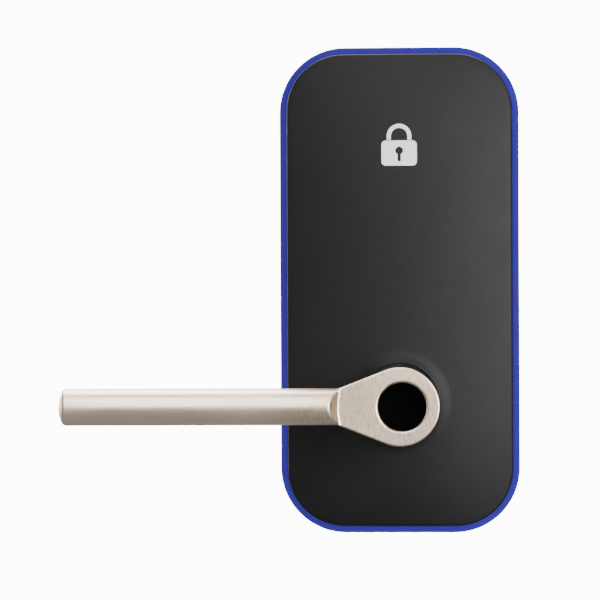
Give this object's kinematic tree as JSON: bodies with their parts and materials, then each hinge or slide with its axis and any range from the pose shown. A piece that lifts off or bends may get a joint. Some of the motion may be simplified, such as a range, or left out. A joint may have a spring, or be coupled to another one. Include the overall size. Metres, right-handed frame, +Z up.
{
  "type": "keypad smart lock exterior trim",
  "caption": "Exterior door trim with a domed dead-front cover over a hidden touch keypad, a soft coloured gasket, and a sprung lever that drives a square spindle through a motor clutch.",
  "frame": {"origin": "lever and spindle axis at the plane of the door face", "axes": "+Z up, +Y into the door, so the front faces -Y and the lever points to -X"},
  "size_m": [0.1597, 0.114, 0.1764],
  "materials": {
    "soft_black": "fine satin grain",
    "emblem_white": "printed inlay",
    "blue_silicone": "satin silicone",
    "zinc_steel": "zinc plated",
    "black_steel": "black oxide",
    "circuit_board": "solder mask",
    "copper": "copper track",
    "led_lens": "clear resin",
    "cable_film": "amber film",
    "black_plastic": "moulded",
    "cell_wrap": "plain sleeve",
    "nickel_contact": "nickel plated",
    "cast_zinc": "as cast",
    "nylon": "natural",
    "spring_steel": "oiled",
    "brass": "turned",
    "satin_nickel": "satin nickel, fine brushing",
    "plug_black": "dead black"
  },
  "bodies": {
    "case": {"front_cover": "soft_black", "lock_emblem": "emblem_white", "trim_gasket": "blue_silicone", "back_plate": "zinc_steel", "mounting_posts": "zinc_steel", "cover_screw": "black_steel", "reader_board": "circuit_board", "touch_pads": "copper", "antenna_coil": "copper", "keypad_leds": "led_lens", "reader_screws": "zinc_steel", "controller_board": "circuit_board", "controller_chips": "black_plastic", "controller_screws": "zinc_steel", "flat_cable": "cable_film", "buzzer": "black_plastic", "tamper_switch": "black_plastic", "battery_holder": "black_plastic", "battery_1": "cell_wrap", "battery_2": "cell_wrap", "battery_3": "cell_wrap", "battery_4": "cell_wrap", "battery_springs": "nickel_contact", "battery_contacts": "nickel_contact", "holder_screws": "zinc_steel", "clutch_cassette": "cast_zinc", "cassette_lid": "cast_zinc", "cassette_screws": "zinc_steel", "neck_bearing": "black_plastic", "return_spring": "spring_steel", "clutch_motor": "zinc_steel"},
    "lever_set": {"lever": "satin_nickel", "hub_cap": "plug_black", "lever_grub_screw": "black_steel", "outer_hub": "cast_zinc", "hub_circlip": "black_steel"},
    "drive_spindle": {"spindle": "zinc_steel", "spindle_hub": "spring_steel"},
    "slider": {"clutch_slider": "nylon"},
    "screw": {"lead_screw": "brass"},
    "pin": {"clutch_pin": "spring_steel"}
  },
  "joints": [
    {"name": "lever_turn", "type": "hinge", "parent": "case", "child": "lever_set", "pos_m": [0, 0, 0], "axis": [0, -1, 0], "range_deg": [-50, 50], "stiffness_Nm_per_rad": 2.4, "deforming": ["return_spring"]},
    {"name": "spindle_turn", "type": "hinge", "parent": "case", "child": "drive_spindle", "pos_m": [0, 0, 0], "axis": [0, -1, 0], "range_deg": [-50, 50]},
    {"name": "clutch_slide", "type": "slide", "parent": "case", "child": "slider", "axis": [0, 0, 1], "range_m": [0, 0.0012]},
    {"name": "screw_spin", "type": "hinge", "parent": "case", "child": "screw", "pos_m": [0, -0.0092, 0.032], "axis": [0, 0, 1], "range_deg": [-1, 361]},
    {"name": "pin_slide", "type": "slide", "parent": "lever_set", "child": "pin", "axis": [0, 0, 1], "range_m": [0, 0.0012]}
  ],
  "couplings": [
    {"joint": "spindle_turn", "follows": "lever_turn", "ratio": 1},
    {"joint": "screw_spin", "follows": "clutch_slide", "rad_per_m": 5236},
    {"joint": "pin_slide", "follows": "clutch_slide", "ratio": 1}
  ]
}
